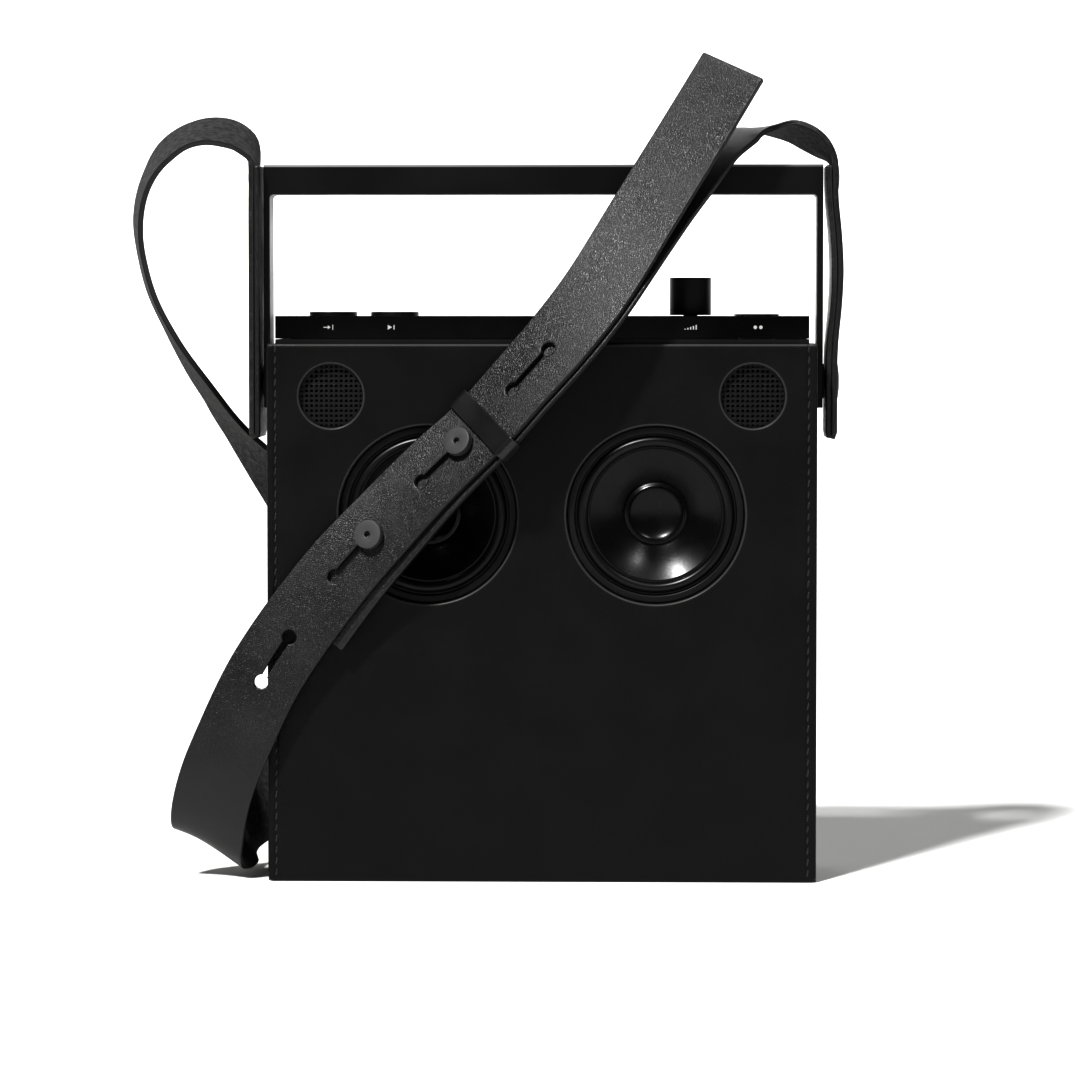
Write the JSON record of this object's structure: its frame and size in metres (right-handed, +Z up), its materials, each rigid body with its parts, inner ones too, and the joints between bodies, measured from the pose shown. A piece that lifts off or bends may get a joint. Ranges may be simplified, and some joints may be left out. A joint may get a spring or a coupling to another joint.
{
  "type": "portable radio",
  "caption": "Flat portable loudspeaker radio in a stitched leather sleeve, with a square carrying handle, top controls, a folding antenna and a wide leather shoulder strap.",
  "frame": {"origin": "middle of the sleeve's flat underside", "axes": "+Z up, the loudspeakers face -Y, +X to the right seen from the front"},
  "size_m": [0.3135, 0.1294, 0.3599],
  "materials": {
    "sleeve_leather": "black smooth leather, semi-gloss, burnished edges",
    "strap_leather": "black thick leather, fine grain, rough flesh side",
    "cap_gloss": "glossy black",
    "matt_plastic": "matt black, fine texture",
    "handle_metal": "black anodised, satin",
    "black_metal": "black, satin",
    "rubber": "matt black",
    "cone": "smooth black coated cone",
    "steel": "bright",
    "magnet": "zinc plated",
    "circuit": "green lacquer",
    "battery": "shrink wrap"
  },
  "bodies": {
    "radio": {"sleeve_front_panel": "sleeve_leather", "sleeve_back_panel": "sleeve_leather", "sleeve_gusset": "sleeve_leather", "rear_shell": "matt_plastic", "front_baffle": "matt_plastic", "top_cap": "cap_gloss", "foot_pad_left": "rubber", "foot_pad_right": "rubber", "woofer_basket_left": "black_metal", "woofer_basket_right": "black_metal", "woofer_surround_left": "rubber", "woofer_surround_right": "rubber", "woofer_magnet_left": "magnet", "woofer_magnet_right": "magnet", "tweeter_grille_left": "black_metal", "tweeter_grille_right": "black_metal", "tweeter_left": "matt_plastic", "tweeter_right": "matt_plastic", "control_board": "circuit", "volume_encoder": "steel", "tape_motor": "steel", "amplifier_board": "circuit", "heat_sink": "black_metal", "battery_pack": "battery", "port_plate": "matt_plastic", "antenna_pin": "steel", "pivot_bush_left": "steel", "pivot_bush_right": "steel", "pivot_washer_left": "black_metal", "pivot_washer_right": "black_metal", "pivot_screw_left": "black_metal", "pivot_screw_right": "black_metal", "long_strap": "strap_leather", "short_strap": "strap_leather", "strap_stud_upper": "matt_plastic", "strap_stud_lower": "matt_plastic", "strap_rivet_left": "black_metal", "strap_rivet_right": "black_metal"},
    "handle": {"carry_handle": "handle_metal"},
    "volume_control": {"volume_knob": "matt_plastic"},
    "tape_spindle": {"tape_disc": "cap_gloss"},
    "input_key": {"input_button": "matt_plastic"},
    "play_key": {"play_button": "matt_plastic"},
    "power_key": {"power_button": "matt_plastic"},
    "left_cone": {"woofer_cone_left": "cone"},
    "right_cone": {"woofer_cone_right": "cone"},
    "antenna_arm": {"antenna_outer_tube": "steel"},
    "antenna_middle": {"antenna_middle_tube": "steel"},
    "antenna_tip": {"antenna_tip_rod": "steel"},
    "keeper": {"strap_keeper": "strap_leather"}
  },
  "joints": [
    {"name": "handle_hinge", "type": "hinge", "parent": "radio", "child": "handle", "pos_m": [0, 0, 0.217], "axis": [-1, 0, 0], "range_deg": [0, 100]},
    {"name": "volume_turn", "type": "hinge", "parent": "radio", "child": "volume_control", "pos_m": [0.0644, 0, 0.2456], "axis": [0, 0, 1], "continuous": true},
    {"name": "tape_turn", "type": "hinge", "parent": "radio", "child": "tape_spindle", "pos_m": [0.0934, 0, 0.2456], "axis": [0, 0, 1], "continuous": true},
    {"name": "input_press", "type": "slide", "parent": "radio", "child": "input_key", "axis": [0, 0, -1], "range_m": [0, 0.0012], "stiffness_N_per_m": 600},
    {"name": "play_press", "type": "slide", "parent": "radio", "child": "play_key", "axis": [0, 0, -1], "range_m": [0, 0.0012], "stiffness_N_per_m": 600},
    {"name": "power_press", "type": "slide", "parent": "radio", "child": "power_key", "axis": [0, -1, 0], "range_m": [0, 0.0007], "stiffness_N_per_m": 800},
    {"name": "left_cone_travel", "type": "slide", "parent": "radio", "child": "left_cone", "axis": [0, -1, 0], "range_m": [-0.0025, 0.0025], "stiffness_N_per_m": 900, "deforming": ["woofer_surround_left"]},
    {"name": "right_cone_travel", "type": "slide", "parent": "radio", "child": "right_cone", "axis": [0, -1, 0], "range_m": [-0.0025, 0.0025], "stiffness_N_per_m": 900, "deforming": ["woofer_surround_right"]},
    {"name": "antenna_swing", "type": "hinge", "parent": "radio", "child": "antenna_arm", "pos_m": [-0.1035, 0.026, 0.2422], "axis": [0, -1, 0], "range_deg": [0, 90]},
    {"name": "antenna_middle_pull", "type": "slide", "parent": "antenna_arm", "child": "antenna_middle", "axis": [1, 0, 0], "range_m": [0, 0.17]},
    {"name": "antenna_tip_pull", "type": "slide", "parent": "antenna_middle", "child": "antenna_tip", "axis": [1, 0, 0], "range_m": [0, 0.165]},
    {"name": "keeper_slide", "type": "slide", "parent": "radio", "child": "keeper", "axis": [0.678, -0.0454, 0.7337], "range_m": [-0.001, 0.018]}
  ]
}
